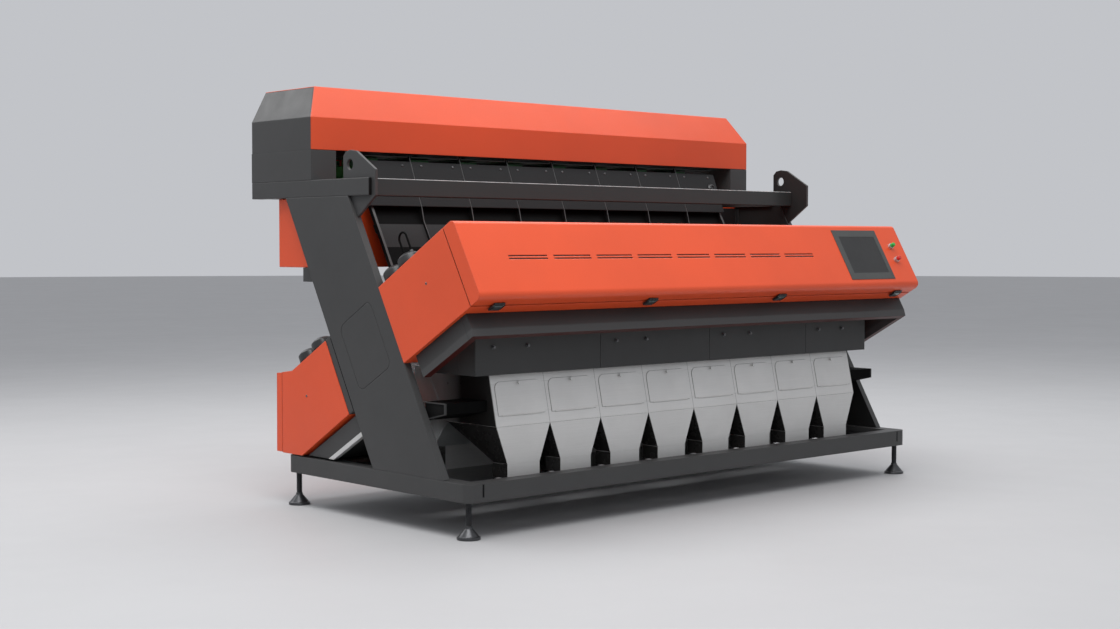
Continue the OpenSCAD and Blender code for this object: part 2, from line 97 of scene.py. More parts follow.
def rings(bm, M, seg, rows):
    """Turned shape: rows of (height, radius), where a radius is a number or a function of the angle."""
    last, faces = None, []
    for z, r in rows:
        if not callable(r) and r == 0:
            ring = [bm.verts.new(M @ Vector((0, 0, z)))]
        else:
            ring = []
            for k in range(seg):
                t = 2 * pi * k / seg
                q = r(t) if callable(r) else r
                ring.append(bm.verts.new(M @ Vector((q * cos(t), q * sin(t), z))))
        if last is not None:
            a, b = last, ring
            for k in range(seg):
                k2 = (k + 1) % seg
                if len(a) == 1 and len(b) == 1:
                    continue
                if len(a) == 1:
                    faces.append(bm.faces.new((a[0], b[k2], b[k])))
                elif len(b) == 1:
                    faces.append(bm.faces.new((a[k], a[k2], b[0])))
                else:
                    faces.append(bm.faces.new((a[k], a[k2], b[k2], b[k])))
        last = ring
    bmesh.ops.recalc_face_normals(bm, faces=faces)


def loop_rings(bm, M, seg, rows):
    """A turned ring: the last row joins the first again."""
    first, last, faces = None, None, []
    made = []
    for z, r in rows:
        made.append([bm.verts.new(M @ Vector(((r(t) if callable(r) else r) * cos(t), (r(t) if callable(r) else r) * sin(t), z)))
                     for t in (2 * pi * k / seg for k in range(seg))])
    for i in range(len(made)):
        a, b = made[i], made[(i + 1) % len(made)]
        for k in range(seg):
            k2 = (k + 1) % seg
            faces.append(bm.faces.new((a[k], a[k2], b[k2], b[k])))
    bmesh.ops.recalc_face_normals(bm, faces=faces)


def hexagon(across):
    """Radius of a hexagon of that width across its flats, by angle."""
    return lambda t: across / 2 / cos((t + pi / 6) % (pi / 3) - pi / 6)


def knurl(r, depth, teeth):
    return lambda t: r - depth * (0.5 + 0.5 * cos(teeth * t))


def cut(f, r):
    return lambda t: min(f(t), r)


def thread(bm, M, r0, r1, pitch, z0, turns, seg=24):
    """A rod with a real helical thread, closed at both ends."""
    prof = [(r0, 0.0), (r1, 0.38), (r1, 0.5), (r0, 0.88)]
    n = turns * seg
    V = []
    for k in range(n + 1):
        t = 2 * pi * k / seg
        V.append([bm.verts.new(M @ Vector((r * cos(t), r * sin(t), z0 + pitch * (k / seg + h)))) for r, h in prof])
    faces = []
    for k in range(n):
        for i in range(3):
            faces.append(bm.faces.new((V[k][i], V[k + 1][i], V[k + 1][i + 1], V[k][i + 1])))
        if k + seg + 1 <= n:
            faces.append(bm.faces.new((V[k][3], V[k + 1][3], V[k + 1 + seg][0], V[k + seg][0])))
    low = [V[k][0] for k in range(seg + 1)] + [V[0][3], V[0][2], V[0][1]]
    top = [V[k][3] for k in range(n - seg, n + 1)] + [V[n][2], V[n][1], V[n][0]]
    for loop, z in ((low, z0), (top, z0 + pitch * (turns + 0.9))):
        mid = bm.verts.new(M @ Vector((0, 0, z)))
        for i in range(len(loop)):
            faces.append(bm.faces.new((loop[i], loop[(i + 1) % len(loop)], mid)))
    bmesh.ops.recalc_face_normals(bm, faces=faces)


def tube(bm, pts, r, seg=10, M=I4, closed=False, rough=None):
    """A round bar along points. rough gives a radius factor at each point."""
    pts = [M @ Vector(p) for p in pts]
    n = len(pts)
    made, up = [], None
    for i, p in enumerate(pts):
        a, b = pts[(i - 1) % n if closed else max(i - 1, 0)], pts[(i + 1) % n if closed else min(i + 1, n - 1)]
        d = (b - a).normalized()
        if up is None:
            up = d.orthogonal().normalized()
        up = (up - d * up.dot(d)).normalized()
        side = d.cross(up)
        q = r * (rough[i] if rough else 1)
        made.append([bm.verts.new(p + (up * cos(2 * pi * k / seg) + side * sin(2 * pi * k / seg)) * q) for k in range(seg)])
    faces = []
    for i in range(n if closed else n - 1):
        a, b = made[i], made[(i + 1) % n]
        for k in range(seg):
            k2 = (k + 1) % seg
            faces.append(bm.faces.new((a[k], a[k2], b[k2], b[k])))
    if not closed:
        faces += [bm.faces.new(made[0][::-1]), bm.faces.new(made[-1])]
    bmesh.ops.recalc_face_normals(bm, faces=faces)


def rounded(w, d, r, n=6, cx=0.0, cy=0.0):
    """Outline of a rectangle with round corners."""
    out = []
    for sx, sy, a in ((1, 1, 0), (-1, 1, 90), (-1, -1, 180), (1, -1, 270)):
        for i in range(n + 1):
            t = radians(a + 90 * i / n)
            out.append((cx + sx * (w / 2 - r) + r * cos(t), cy + sy * (d / 2 - r) + r * sin(t)))
    return out


def piece(name, bm, material, body, M=I4, sharp=35.0, replaces=(), bevel=0.0):
    """Turns a mesh in millimetres into a piece that rides on a body."""
    bm.transform(M)
    bm.transform(Matrix.Scale(0.001, 4))
    me = bpy.data.meshes.new(name)
    bm.to_mesh(me)
    bm.free()
    me.polygons.foreach_set("use_smooth", [True] * len(me.polygons))
    me.set_sharp_from_angle(angle=radians(sharp))
    me.materials.append(material)
    o = bpy.data.objects.new(name, me)
    SCENE.collection.objects.link(o)
    if bevel:
        b = o.modifiers.new("edges", "BEVEL")
        b.width, b.segments, b.limit_method, b.angle_limit = bevel * 0.001, 2, "ANGLE", radians(35)
        b.harden_normals = True
    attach(o, body)
    if replaces:
        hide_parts(*replaces)
    return o


# ------------------------------------------------------------------ materials


class Tree:
    def __init__(self, name):
        self.m = bpy.data.materials.new(name)
        self.m.use_nodes = True
        self.t = self.m.node_tree
        self.t.nodes.clear()
        out = self.t.nodes.new("ShaderNodeOutputMaterial")
        self.b = self.t.nodes.new("ShaderNodeBsdfPrincipled")
        self.t.links.new(self.b.outputs[0], out.inputs[0])
        self.co = self.t.nodes.new("ShaderNodeTexCoord").outputs["Object"]

    def link(self, a, b):
        self.t.links.new(a, b)

    def stretch(self, sx, sy, sz, rot=(0, 0, 0)):
        n = self.t.nodes.new("ShaderNodeMapping")
        n.inputs["Scale"].default_value = (sx, sy, sz)
        n.inputs["Rotation"].default_value = rot
        self.link(self.co, n.inputs["Vector"])
        return n.outputs[0]

    def noise(self, scale, detail=3.0, rough=0.5, co=None):
        n = self.t.nodes.new("ShaderNodeTexNoise")
        n.inputs["Scale"].default_value = scale
        n.inputs["Detail"].default_value = detail
        n.inputs["Roughness"].default_value = rough
        self.link(co or self.co, n.inputs["Vector"])
        return n.outputs["Fac"]

    def ramp(self, fac, stops, constant=False):
        n = self.t.nodes.new("ShaderNodeValToRGB")
        if constant:
            n.color_ramp.interpolation = "CONSTANT"
        e = n.color_ramp.elements
        while len(e) < len(stops):
            e.new(0.5)
        for x, (p, c) in zip(e, stops):
            x.position = p
            x.color = (*c, 1) if len(c) == 3 else c
        self.link(fac, n.inputs["Fac"])
        return n.outputs["Color"]

    def span(self, fac, lo, hi, a=0.3, b=0.7):
        n = self.t.nodes.new("ShaderNodeMapRange")
        n.inputs["From Min"].default_value = a
        n.inputs["From Max"].default_value = b
        n.inputs["To Min"].default_value = lo
        n.inputs["To Max"].default_value = hi
        self.link(fac, n.inputs["Value"])
        return n.outputs["Result"]

    def mix(self, fac, a, b, how="MIX"):
        n = self.t.nodes.new("ShaderNodeMix")
        n.data_type = "RGBA"
        n.blend_type = how
        for sock, v in ((n.inputs["Factor"], fac), (n.inputs["A"] if False else n.inputs[6], a), (n.inputs[7], b)):
            if hasattr(v, "links") or hasattr(v, "is_linked"):
                self.link(v, sock)
            else:
                sock.default_value = v if not isinstance(v, tuple) else (*v, 1)[:4]
        return n.outputs[2]

    def math(self, op, a, b):
        n = self.t.nodes.new("ShaderNodeMath")
        n.operation = op
        for sock, v in zip(n.inputs, (a, b)):
            if hasattr(v, "is_linked"):
                self.link(v, sock)
            else:
                sock.default_value = v
        return n.outputs[0]

    def dot(self, vec):
        n = self.t.nodes.new("ShaderNodeVectorMath")
        n.operation = "DOT_PRODUCT"
        n.inputs[1].default_value = vec
        self.link(self.co, n.inputs[0])
        return n.outputs["Value"]

    def bump(self, height, strength, dist, before=None):
        n = self.t.nodes.new("ShaderNodeBump")
        n.inputs["Strength"].default_value = strength
        n.inputs["Distance"].default_value = dist
        self.link(height, n.inputs["Height"])
        if before is not None:
            self.link(before, n.inputs["Normal"])
        return n.outputs["Normal"]

    def set(self, **k):
        for name, v in k.items():
            sock = self.b.inputs[name.replace("_", " ")]
            if hasattr(v, "is_linked"):
                self.link(v, sock)
            else:
                sock.default_value = (*v, 1) if isinstance(v, tuple) else v
        return self


def shade(c, k):
    return tuple(min(1.0, x * k) for x in c)


def paint(name, c, rough=(0.36, 0.45), peel=0.05, spec=0.5, var=0.05, wave=0.012, inner_shade=1.0, painted_highlight=None):
    """Powder coat: slow drift of tone, fine speckle, orange peel, and the sheet's own slight waviness."""
    t = Tree(name)
    slow = t.noise(1.7, 3, 0.55)
    fine = t.noise(420, 2, 0.6)
    dust = t.noise(9, 5, 0.62)
    tone = t.ramp(slow, [(0.3, shade(c, 1 - var)), (0.7, shade(c, 1 + var))])
    speck = t.ramp(fine, [(0.32, (0.94, 0.94, 0.94)), (0.68, (1.0, 1.0, 1.0))])
    coat = t.mix(1.0, tone, speck, "MULTIPLY")
    if inner_shade < 1.0:
        # painted shade: faces that look towards the middle of the machine are painted darker
        n, q = t.t.nodes.new("ShaderNodeSeparateXYZ"), t.t.nodes.new("ShaderNodeSeparateXYZ")
        t.link(t.t.nodes.new("ShaderNodeTexCoord").outputs["Normal"], n.inputs[0])
        t.link(t.co, q.inputs[0])
        side = t.math("MULTIPLY", n.outputs[0], t.math("SIGN", q.outputs[0], 0.0))
        coat = t.mix(t.span(side, 0.0, 1.0, -0.5, -0.8), coat, t.ramp(slow, [(0.3, shade(c, inner_shade * 0.9)), (0.7, shade(c, inner_shade * 1.1))]))
    if painted_highlight:
        # painted highlight: the outer corner of the fold is painted pale where both planes are passed
        (va, a), (vb, b), highlight_tone = painted_highlight
        highlight_mask = t.math("MULTIPLY", t.math("GREATER_THAN", t.dot(va), a), t.math("GREATER_THAN", t.dot(vb), b))
        highlight_amount = t.math("MULTIPLY", highlight_mask, t.span(t.noise(30, 3, 0.6), 0.55, 1.0))
        coat = t.mix(highlight_amount, coat, t.ramp(dust, [(0.3, shade(highlight_tone, 0.94)), (0.7, highlight_tone)]))
    t.set(Base_Color=coat, Roughness=t.span(dust, *rough), Specular_IOR_Level=spec)
    fold = t.t.nodes.new("ShaderNodeBevel")
    fold.samples = 4
    fold.inputs["Radius"].default_value = 0.006
    sheet = t.bump(t.noise(2.6, 1, 0.4), 0.35, wave * 0.1, fold.outputs[0])
    t.set(Normal=t.bump(t.noise(620, 2, 0.5), peel, 0.0006, sheet))
    return t.m


def brushed(name, c, rough=(0.3, 0.42), along="X", metal=1.0, var=0.05, lines=0.05):
    """Brushed sheet steel: fine lines along one axis, cloudy roughness and faint handling marks."""
    t = Tree(name)
    s = {"X": (1.5, 260, 260), "Y": (260, 1.5, 260), "Z": (260, 260, 1.5)}[along]
    grain = t.noise(3.0, 4, 0.65, t.stretch(*s))
    cloud = t.noise(3.2, 4, 0.6)
    smear = t.noise(16, 5, 0.65)
    tone = t.ramp(cloud, [(0.3, shade(c, 1 - var)), (0.7, shade(c, 1 + var))])
    line = t.ramp(grain, [(0.3, (0.9, 0.9, 0.9)), (0.7, (1.0, 1.0, 1.0))])
    t.set(Base_Color=t.mix(1.0, tone, line, "MULTIPLY"), Metallic=metal)
    t.set(Roughness=t.math("ADD", t.span(smear, *rough), t.span(grain, -0.04, 0.04)))
    t.set(Normal=t.bump(grain, lines, 0.0004, t.bump(t.noise(3.1, 1, 0.4), 0.3, 0.001)))
    return t.m


def plastic(name, c, rough=(0.35, 0.5), grain=0.12, spec=0.5, scale=900):
    """Moulded plastic with a fine spark-eroded grain."""
    t = Tree(name)
    cloud = t.noise(20, 4, 0.6)
    tiny = t.noise(scale, 3, 0.6)
    t.set(Base_Color=t.ramp(cloud, [(0.3, shade(c, 0.88)), (0.7, shade(c, 1.12))]), Roughness=t.span(cloud, *rough), Specular_IOR_Level=spec)
    t.set(Normal=t.bump(tiny, grain, 0.0004))
    return t.m


ORANGE = (0.77, 0.083, 0.019)
M_ORANGE = paint("orange_paint_coat", ORANGE)
# a darker copy of the orange paint, as painted shade on the vertical hood front
M_HOOD = paint("orange_hood_shaded_coat", (0.68, 0.072, 0.0155))
# slope: how far up is dot(UP) + 0.10507, how far to the front is dot(OUT) - 0.67818, in metres
UP, OUT = (0, 0.49242, 0.87036), (0, -0.87036, 0.49242)
# orange paint with a painted highlight along the cover's top front edge
M_COVER = paint("orange_cover_coat", ORANGE, painted_highlight=((UP, 0.9475 - 0.10507), (OUT, 0.6105 + 0.67818), (1.0, 0.42, 0.30)))
M_GREY = paint("grey_paint_coat", (0.056, 0.056, 0.056), rough=(0.42, 0.52), spec=0.28, peel=0.07, var=0.06)
# grey paint with painted shade on the faces that look inward
M_INNER_SHADE = paint("grey_paint_shaded_inside", (0.056, 0.056, 0.056), rough=(0.42, 0.52), spec=0.28, peel=0.07, var=0.06, inner_shade=0.3)
# dark paint with a painted highlight along the beam's top front edge
M_BEAM = paint("beam_paint_coat", (0.029, 0.037, 0.037), rough=(0.30, 0.38), spec=0.4, peel=0.07, var=0.06, painted_highlight=(((0, 0, 1), 1.5700), ((0, -1, 0), 0.0122), (0.42, 0.42, 0.42)))
M_DARK = paint("dark_paint_coat", (0.049, 0.0495, 0.049), rough=(0.42, 0.52), spec=0.28, peel=0.07, var=0.06)
M_GUARD = paint("guard_paint_coat", (0.014, 0.014, 0.0145), rough=(0.42, 0.52), spec=0.25, peel=0.07, var=0.06)
M_GREEN = paint("green_enamel", (0.06, 0.30, 0.08), rough=(0.25, 0.38), peel=0.08)
M_STEEL = brushed("brushed_steel", (0.68, 0.675, 0.66), rough=(0.40, 0.50), along="X", metal=0.35)
M_TRAY = brushed("feeder_tray_steel", (0.05, 0.05, 0.05), rough=(0.34, 0.46), along="Y", metal=0.5)
M_SCREW = brushed("dark_screw_steel", (0.17, 0.17, 0.175), rough=(0.24, 0.36), along="Z", metal=0.8, var=0.1)
M_LATCH = brushed("latch_plate_steel", (0.20, 0.235, 0.235), rough=(0.26, 0.38), along="X", metal=0.9)
M_ZINC = brushed("plated_steel", (0.55, 0.55, 0.56), rough=(0.22, 0.36), along="Z", var=0.08)
M_FOOT = brushed("blackened_steel", (0.075, 0.076, 0.08), rough=(0.26, 0.4), along="Z", metal=0.75, var=0.1)
M_PLASTIC = plastic("black_plastic_grain", (0.022, 0.022, 0.023))
M_BEZEL = plastic("bezel_plastic_grain", (0.058, 0.06, 0.058), rough=(0.5, 0.62), grain=0.08)
M_DOME = plastic("dome_plastic_grain", (0.020, 0.021, 0.022), rough=(0.3, 0.42), grain=0.06)
M_RUBBER = plastic("rubber_grain", (0.012, 0.012, 0.012), rough=(0.55, 0.7), grain=0.2, spec=0.35)
# near-black plastic, placed as painted shade in recesses and gaps
M_SHADE_BLACK = plastic("shade_black_grain", (0.005, 0.005, 0.005), rough=(0.6, 0.75), grain=0.1, spec=0.12)
# mid-dark grey used as a painted shadow line round the doors
M_DOOR_SHADE = plastic("door_shadow_grain", (0.22, 0.22, 0.215), rough=(0.6, 0.75), grain=0.1, spec=0.2)
M_CABLE = plastic("cable_jacket_grain", (0.002, 0.002, 0.002), rough=(0.55, 0.7), grain=0.1, spec=0.05)
M_GREENCAP = plastic("green_cap_plastic", (0.02, 0.38, 0.06), rough=(0.2, 0.3), grain=0.04)
M_REDCAP = plastic("red_cap_plastic", (0.55, 0.02, 0.015), rough=(0.2, 0.3), grain=0.04)
M_LAMP = plastic("lamp_diffuser", (0.82, 0.83, 0.80), rough=(0.2, 0.3), grain=0.05)


def gloss_black():
    t = Tree("black_gloss_enamel")
    cloud = t.noise(5, 5, 0.6)
    scuff = t.noise(60, 4, 0.7)
    t.set(Base_Color=t.ramp(cloud, [(0.3, (0.010, 0.010, 0.011)), (0.7, (0.016, 0.016, 0.017))]))
    t.set(Roughness=t.math("ADD", t.span(cloud, 0.10, 0.18), t.span(scuff, -0.02, 0.06)), Specular_IOR_Level=0.55)
    t.set(Normal=t.bump(t.noise(420, 2, 0.5), 0.02, 0.0006, t.bump(t.noise(2.2, 1, 0.4), 0.3, 0.001)))
    return t.m


def chute_alloy():
    """Anodised plates with painted reflection and shade in bands up the slope: the upper stretch is dark, with a
    lighter band below it.
    """
    t = Tree("chute_anodised")
    up = t.dot((0, 0.49242, 0.87036))
    s = t.math("SUBTRACT", up, -0.642 * 0.49242 + 0.2425 * 0.87036)
    f = t.span(s, 0.0, 1.0, 0.965, 1.785)
    # painted reflection and shade: constant dark and grey bands up the slope
    d, g = (0.004, 0.004, 0.004), (0.042, 0.044, 0.045)
    painted_reflection_band = t.ramp(f, [(0.0, d), (0.39, d), (0.405, g), (0.555, g), (0.56, d), (0.68, d), (0.685, g), (1.0, g)], True)
    grain = t.noise(3.0, 4, 0.6, t.stretch(220, 2, 2))
    line = t.ramp(grain, [(0.3, (0.86, 0.86, 0.86)), (0.7, (1.0, 1.0, 1.0))])
    t.set(Base_Color=t.mix(1.0, painted_reflection_band, line, "MULTIPLY"), Metallic=0.15, Roughness=t.span(t.noise(8, 4, 0.6), 0.32, 0.46))
    t.set(Normal=t.bump(grain, 0.06, 0.0005), Specular_IOR_Level=0.05)
    return t.m


def screen_glass():
    t = Tree("screen_glass_off")
    cloud = t.noise(4, 3, 0.5)
    smear = t.noise(35, 5, 0.7)
    t.set(Base_Color=t.ramp(cloud, [(0.35, (0.023, 0.023, 0.023)), (0.65, (0.028, 0.028, 0.028))]), Roughness=t.span(smear, 0.34, 0.44))
    t.set(Specular_IOR_Level=0.35)
    return t.m


def window_pane():
    t = Tree("window_pane_glass")
    smear = t.noise(6, 5, 0.65)
    t.set(Base_Color=t.ramp(smear, [(0.3, (0.80, 0.86, 0.86)), (0.7, (0.88, 0.92, 0.92))]), Roughness=t.span(smear, 0.03, 0.10), IOR=1.5)
    t.set(Transmission_Weight=0.9)
    return t.m


def zoned_bracket():
    """Channel: coated grey at its outer end, and black behind it as painted shade where it lies in deep shadow under
    the box.
    """
    t = Tree("bracket_coat")
    n = t.t.nodes.new("ShaderNodeSeparateXYZ")
    t.link(t.co, n.inputs[0])
    end = t.math("GREATER_THAN", t.math("ABSOLUTE", n.outputs[0], 0.0), 1.512)
    cloud = t.noise(9, 4, 0.6)
    grey = t.ramp(cloud, [(0.3, (0.05, 0.05, 0.05)), (0.7, (0.058, 0.058, 0.058))])
    # painted shade: near-black for the part in deep shadow
    black = t.ramp(cloud, [(0.3, (0.003, 0.003, 0.003)), (0.7, (0.005, 0.005, 0.005))])
    t.set(Base_Color=t.mix(end, black, grey), Roughness=t.span(cloud, 0.6, 0.75), Specular_IOR_Level=0.03)
    t.set(Normal=t.bump(t.noise(620, 2, 0.5), 0.06, 0.0006))
    return t.m


def edged_rib():
    """Dark anodised lane divider with a painted highlight: its front edge and nose painted bright where light catches
    them.
    """
    t = Tree("divider_anodised")
    nrm = t.t.nodes.new("ShaderNodeTexCoord").outputs["Normal"]
    n = t.t.nodes.new("ShaderNodeVectorMath")
    n.operation = "DOT_PRODUCT"
    n.inputs[1].default_value = (0, -0.87036, 0.49242)
    t.link(nrm, n.inputs[0])
    # painted highlight on the faces that look up and to the front
    front = t.span(n.outputs["Value"], 0.0, 1.0, 0.55, 0.9)
    grain = t.noise(3.0, 4, 0.6, t.stretch(2, 180, 180))
    dark = t.ramp(grain, [(0.3, (0.012, 0.012, 0.012)), (0.7, (0.02, 0.02, 0.02))])
    highlight_tone = t.ramp(grain, [(0.3, (0.085, 0.085, 0.085)), (0.7, (0.12, 0.12, 0.12))])
    t.set(Base_Color=t.mix(front, dark, highlight_tone), Metallic=0.5, Roughness=t.span(t.noise(14, 4, 0.6), 0.34, 0.5), Specular_IOR_Level=0.3)
    t.set(Normal=t.bump(grain, 0.06, 0.0005))
    return t.m


def hopper_steel():
    """Bright brushed front and back faces. The end faces are mirror polished, with a painted dark reflection, dark
    inside and out.
    """
    t = Tree("hopper_steel_polished")
    nrm = t.t.nodes.new("ShaderNodeTexCoord").outputs["Normal"]
    n = t.t.nodes.new("ShaderNodeSeparateXYZ")
    t.link(nrm, n.inputs[0])
    side = t.span(t.math("ABSOLUTE", n.outputs[0], 0.0), 0.0, 1.0, 0.45, 0.75)
    grain = t.noise(3.0, 4, 0.65, t.stretch(1.5, 260, 260))
    cloud = t.noise(3.2, 4, 0.6)
    face = t.ramp(cloud, [(0.3, (0.65, 0.645, 0.63)), (0.7, (0.71, 0.705, 0.69))])
    # painted reflection: the end faces are coloured dark
    end = t.ramp(cloud, [(0.3, (0.035, 0.033, 0.032)), (0.7, (0.055, 0.052, 0.05))])
    line = t.ramp(grain, [(0.3, (0.9, 0.9, 0.9)), (0.7, (1.0, 1.0, 1.0))])
    t.set(Base_Color=t.mix(1.0, t.mix(side, face, end), line, "MULTIPLY"), Metallic=0.35)
    t.set(Roughness=t.math("SUBTRACT", t.span(t.noise(16, 5, 0.65), 0.40, 0.50), t.math("MULTIPLY", side, 0.18)), Specular_IOR_Level=0.3)
    t.set(Normal=t.bump(grain, 0.05, 0.0004, t.bump(t.noise(3.1, 1, 0.4), 0.3, 0.001)))
    return t.m


def end_wall_steel():
    """Polished end walls with painted light and shade: paler towards the back, dark behind the face; with upright
    polishing lines.
    """
    t = Tree("polished_steel_wall")
    n = t.t.nodes.new("ShaderNodeSeparateXYZ")
    t.link(t.co, n.inputs[0])
    cloud = t.noise(2.4, 3, 0.55)
    y = t.math("ADD", n.outputs[1], t.span(cloud, -0.03, 0.03))
    # painted light and shade: dark at the front behind the face, pale towards the back
    tone = t.ramp(t.span(y, 0.0, 1.0, -0.62, -0.12), [(0.0, (0.03, 0.029, 0.028)), (0.42, (0.022, 0.021, 0.02)), (0.72, (0.62, 0.64, 0.64)), (1.0, (0.70, 0.74, 0.74))])
    grain = t.noise(3.0, 4, 0.65, t.stretch(260, 260, 1.5))
    line = t.ramp(grain, [(0.3, (0.88, 0.88, 0.88)), (0.7, (1.0, 1.0, 1.0))])
    t.set(Base_Color=t.mix(1.0, tone, line, "MULTIPLY"), Metallic=0.4, Roughness=t.span(t.noise(16, 5, 0.65), 0.26, 0.38), Specular_IOR_Level=0.4)
    t.set(Normal=t.bump(grain, 0.05, 0.0004, t.bump(t.noise(3.1, 1, 0.4), 0.4, 0.001)))
    return t.m


def face_steel():
    """Brushed hopper face with a fine joint line between lanes."""
    t = Tree("hopper_face_steel")
    n = t.t.nodes.new("ShaderNodeSeparateXYZ")
    t.link(t.co, n.inputs[0])
    u = t.math("FRACT", t.math("DIVIDE", t.math("ADD", n.outputs[0], 1.44), 0.32), 0.0)
    off = t.math("ABSOLUTE", t.math("SUBTRACT", u, 0.5), 0.0)
    joint = t.math("LESS_THAN", off, 0.0042)
    grain = t.noise(3.0, 4, 0.65, t.stretch(1.5, 260, 260))
    cloud = t.noise(3.2, 4, 0.6)
    tone = t.ramp(cloud, [(0.3, (0.65, 0.645, 0.63)), (0.7, (0.71, 0.705, 0.69))])
    dark = t.ramp(cloud, [(0.3, (0.30, 0.30, 0.29)), (0.7, (0.36, 0.36, 0.35))])
    line = t.ramp(grain, [(0.3, (0.9, 0.9, 0.9)), (0.7, (1.0, 1.0, 1.0))])
    t.set(Base_Color=t.mix(1.0, t.mix(joint, tone, dark), line, "MULTIPLY"), Metallic=0.35, Roughness=t.span(t.noise(16, 5, 0.65), 0.40, 0.50))
    t.set(Normal=t.bump(grain, 0.05, 0.0004, t.bump(t.noise(3.1, 1, 0.4), 0.3, 0.001)))
    return t.m


def valance_coat():
    """Grey coat with painted shade, dark under the box and lighter on the lip, and a painted red-brown bounce of the
    orange box on the underside.
    """
    t = Tree("valance_paint_coat")
    up = t.math("SUBTRACT", t.dot((0, 0.49242, 0.87036)), -0.642 * 0.49242 + 0.2425 * 0.87036)
    cloud = t.noise(3.0, 4, 0.6)
    s = t.math("ADD", up, t.span(cloud, -0.003, 0.003))
    # painted shade: darker up the face towards the box above
    tone = t.ramp(t.span(s, 0.0, 1.0, 0.45, 0.58), [(0.0, (0.062, 0.062, 0.062)), (0.33, (0.064, 0.064, 0.064)), (0.40, (0.042, 0.041, 0.041)), (0.92, (0.020, 0.018, 0.018))])
    n = t.t.nodes.new("ShaderNodeVectorMath")
    n.operation = "DOT_PRODUCT"
    n.inputs[1].default_value = (0, -0.49242, -0.87036)
    t.link(t.t.nodes.new("ShaderNodeTexCoord").outputs["Normal"], n.inputs[0])
    under = t.span(n.outputs["Value"], 0.0, 1.0, 0.6, 0.9)
    # painted reflection: red-brown bounce from the orange box on the underside
    painted_orange_bounce = t.ramp(cloud, [(0.3, (0.040, 0.006, 0.004)), (0.7, (0.055, 0.008, 0.006))])
    t.set(Base_Color=t.mix(under, tone, painted_orange_bounce), Roughness=t.span(cloud, 0.42, 0.52), Specular_IOR_Level=0.25)
    t.set(Normal=t.bump(t.noise(620, 2, 0.5), 0.07, 0.0006))
    return t.m


M_VALANCE = valance_coat()
M_FACE = face_steel()
M_WALL = end_wall_steel()
M_HOPPER = hopper_steel()
M_BRACKET = zoned_bracket()
M_EDGE = edged_rib()
M_BLACK = gloss_black()
M_CHUTE = chute_alloy()
M_RIB = brushed("chute_rib_alloy", (0.42, 0.425, 0.43), rough=(0.3, 0.42), along="Z", metal=0.8)
M_SCREEN = screen_glass()
M_WINDOW = window_pane()

# ------------------------------------------------------------------ CAD nodes that stay: finish and broken edges
FINISH = {
    "base_rails": (M_GREY, 3.0), "base_tray": (M_BLACK, 1.5), "uprights": (M_INNER_SHADE, 3.0), "upright_covers": (M_GREY, 0.8),
    "top_arms": (M_GREY, 3.0), "lifting_lugs": (M_INNER_SHADE, 1.5), "cross_beams": (M_BEAM, 3.0), "hood_front": (M_HOOD, 1.6),
    "hood_shell": (M_ORANGE, 1.6), "hood_ends": (M_GREY, 1.6), "feed_bin": (M_STEEL, 1.0), "feeder_guards": (M_GUARD, 1.0),
    "vibrators": (M_GREEN, 2.5), "chute_plates": (M_CHUTE, 0.8), "chute_ribs": (M_EDGE, 0.6), "front_box": (M_ORANGE, 1.2),
    "window_glass": (M_WINDOW, 0.5), "cameras": (M_PLASTIC, 2.0), "lamp_bars": (M_LAMP, 2.0), "valance": (M_VALANCE, 1.6),
    "discharge_panels": (M_DARK, 1.0), "hopper_face": (M_FACE, 0.3), "hopper_funnels": (M_HOPPER, 0.3),
    "hopper_partitions": (M_WALL, 0.8), "outlet_spouts": (M_HOPPER, 0.3), "rear_hopper": (M_WALL, 0.8),
    "hopper_brackets": (M_BRACKET, 1.0), "rear_box": (M_ORANGE, 1.2), "rear_bearer": (M_GREY, 2.0), "rear_stays": (M_STEEL, 1.5),
    "rear_cabinet": (M_ORANGE, 4.0), "ejector_bar": (M_RIB, 1.5), "front_cover": (M_COVER, 0.9), "screen_bezel": (M_BEZEL, 0.8),
    "touch_screen": (M_SCREEN, 0.4), "feeder_trays": (M_TRAY, 0.8), "rear_cover": (M_ORANGE, 0.9),
}
for k in range(1, 9):
    FINISH[f"hopper_door_{k}"] = (M_STEEL, 1.4)
for name, (material, width) in FINISH.items():
    o = NODE[name]
    o.data.materials.clear()
    o.data.materials.append(material)
    w = o.modifiers.new("weld", "WELD")
    w.merge_threshold = 0.00001
    b = o.modifiers.new("edges", "BEVEL")
    b.width, b.segments, b.limit_method, b.angle_limit = width * 0.001, 2, "ANGLE", radians(8 if name == "valance" else 20)
    n = o.modifiers.new("normals", "WEIGHTED_NORMAL")
    n.weight = 60

# ------------------------------------------------------------------ front cover: vents, screen, buttons, latches
bm = bmesh.new()
for g in range(8):
    x = -1324 + g * 264.6
    box(bm, (x - 8, CV0 + 3.3, 748), (x + 235, CV0 + 4.8, 780), 0.4)
    for j in range(19):
        box(bm, (x + 6 + 12 * j, CV0 + 4.9, 750), (x + 9 + 12 * j, CV0 + 8, 778), 0.3)
piece("vent_guards", bm, M_PLASTIC, "front_cover", SLOPE)

bm = bmesh.new()
for s in (730, 812):
    M = shift(1446, CV0, s) @ turn(90, "X")
    loop_rings(bm, M, 48, [(0, 11.4), (0, 16), (3.2, 16), (3.8, 15.3), (4.6, 15.3), (5.2, 16), (12.6, 16), (14.4, 15.2), (15, 14), (15, 12.3), (14.2, 11.4)])
piece("button_rings", bm, M_ZINC, "front_cover", SLOPE, replaces=["button_collars"])
for name, s, material, slot in (("start_button", 812, M_GREENCAP, "green_cap"), ("stop_button", 730, M_REDCAP, "red_cap")):
    bm = bmesh.new()
    rings(bm, shift(1446, CV0 - 6, s) @ turn(90, "X"), 48,
          [(0, 0), (0, 11), (22.5, 11), (25.2, 10.7), (27.0, 9.9), (28.2, 8.4), (28.6, 6.5), (28.2, 5.5), (28.1, 0)])
    piece(name + "_cap", bm, material, name, SLOPE, replaces=[name])

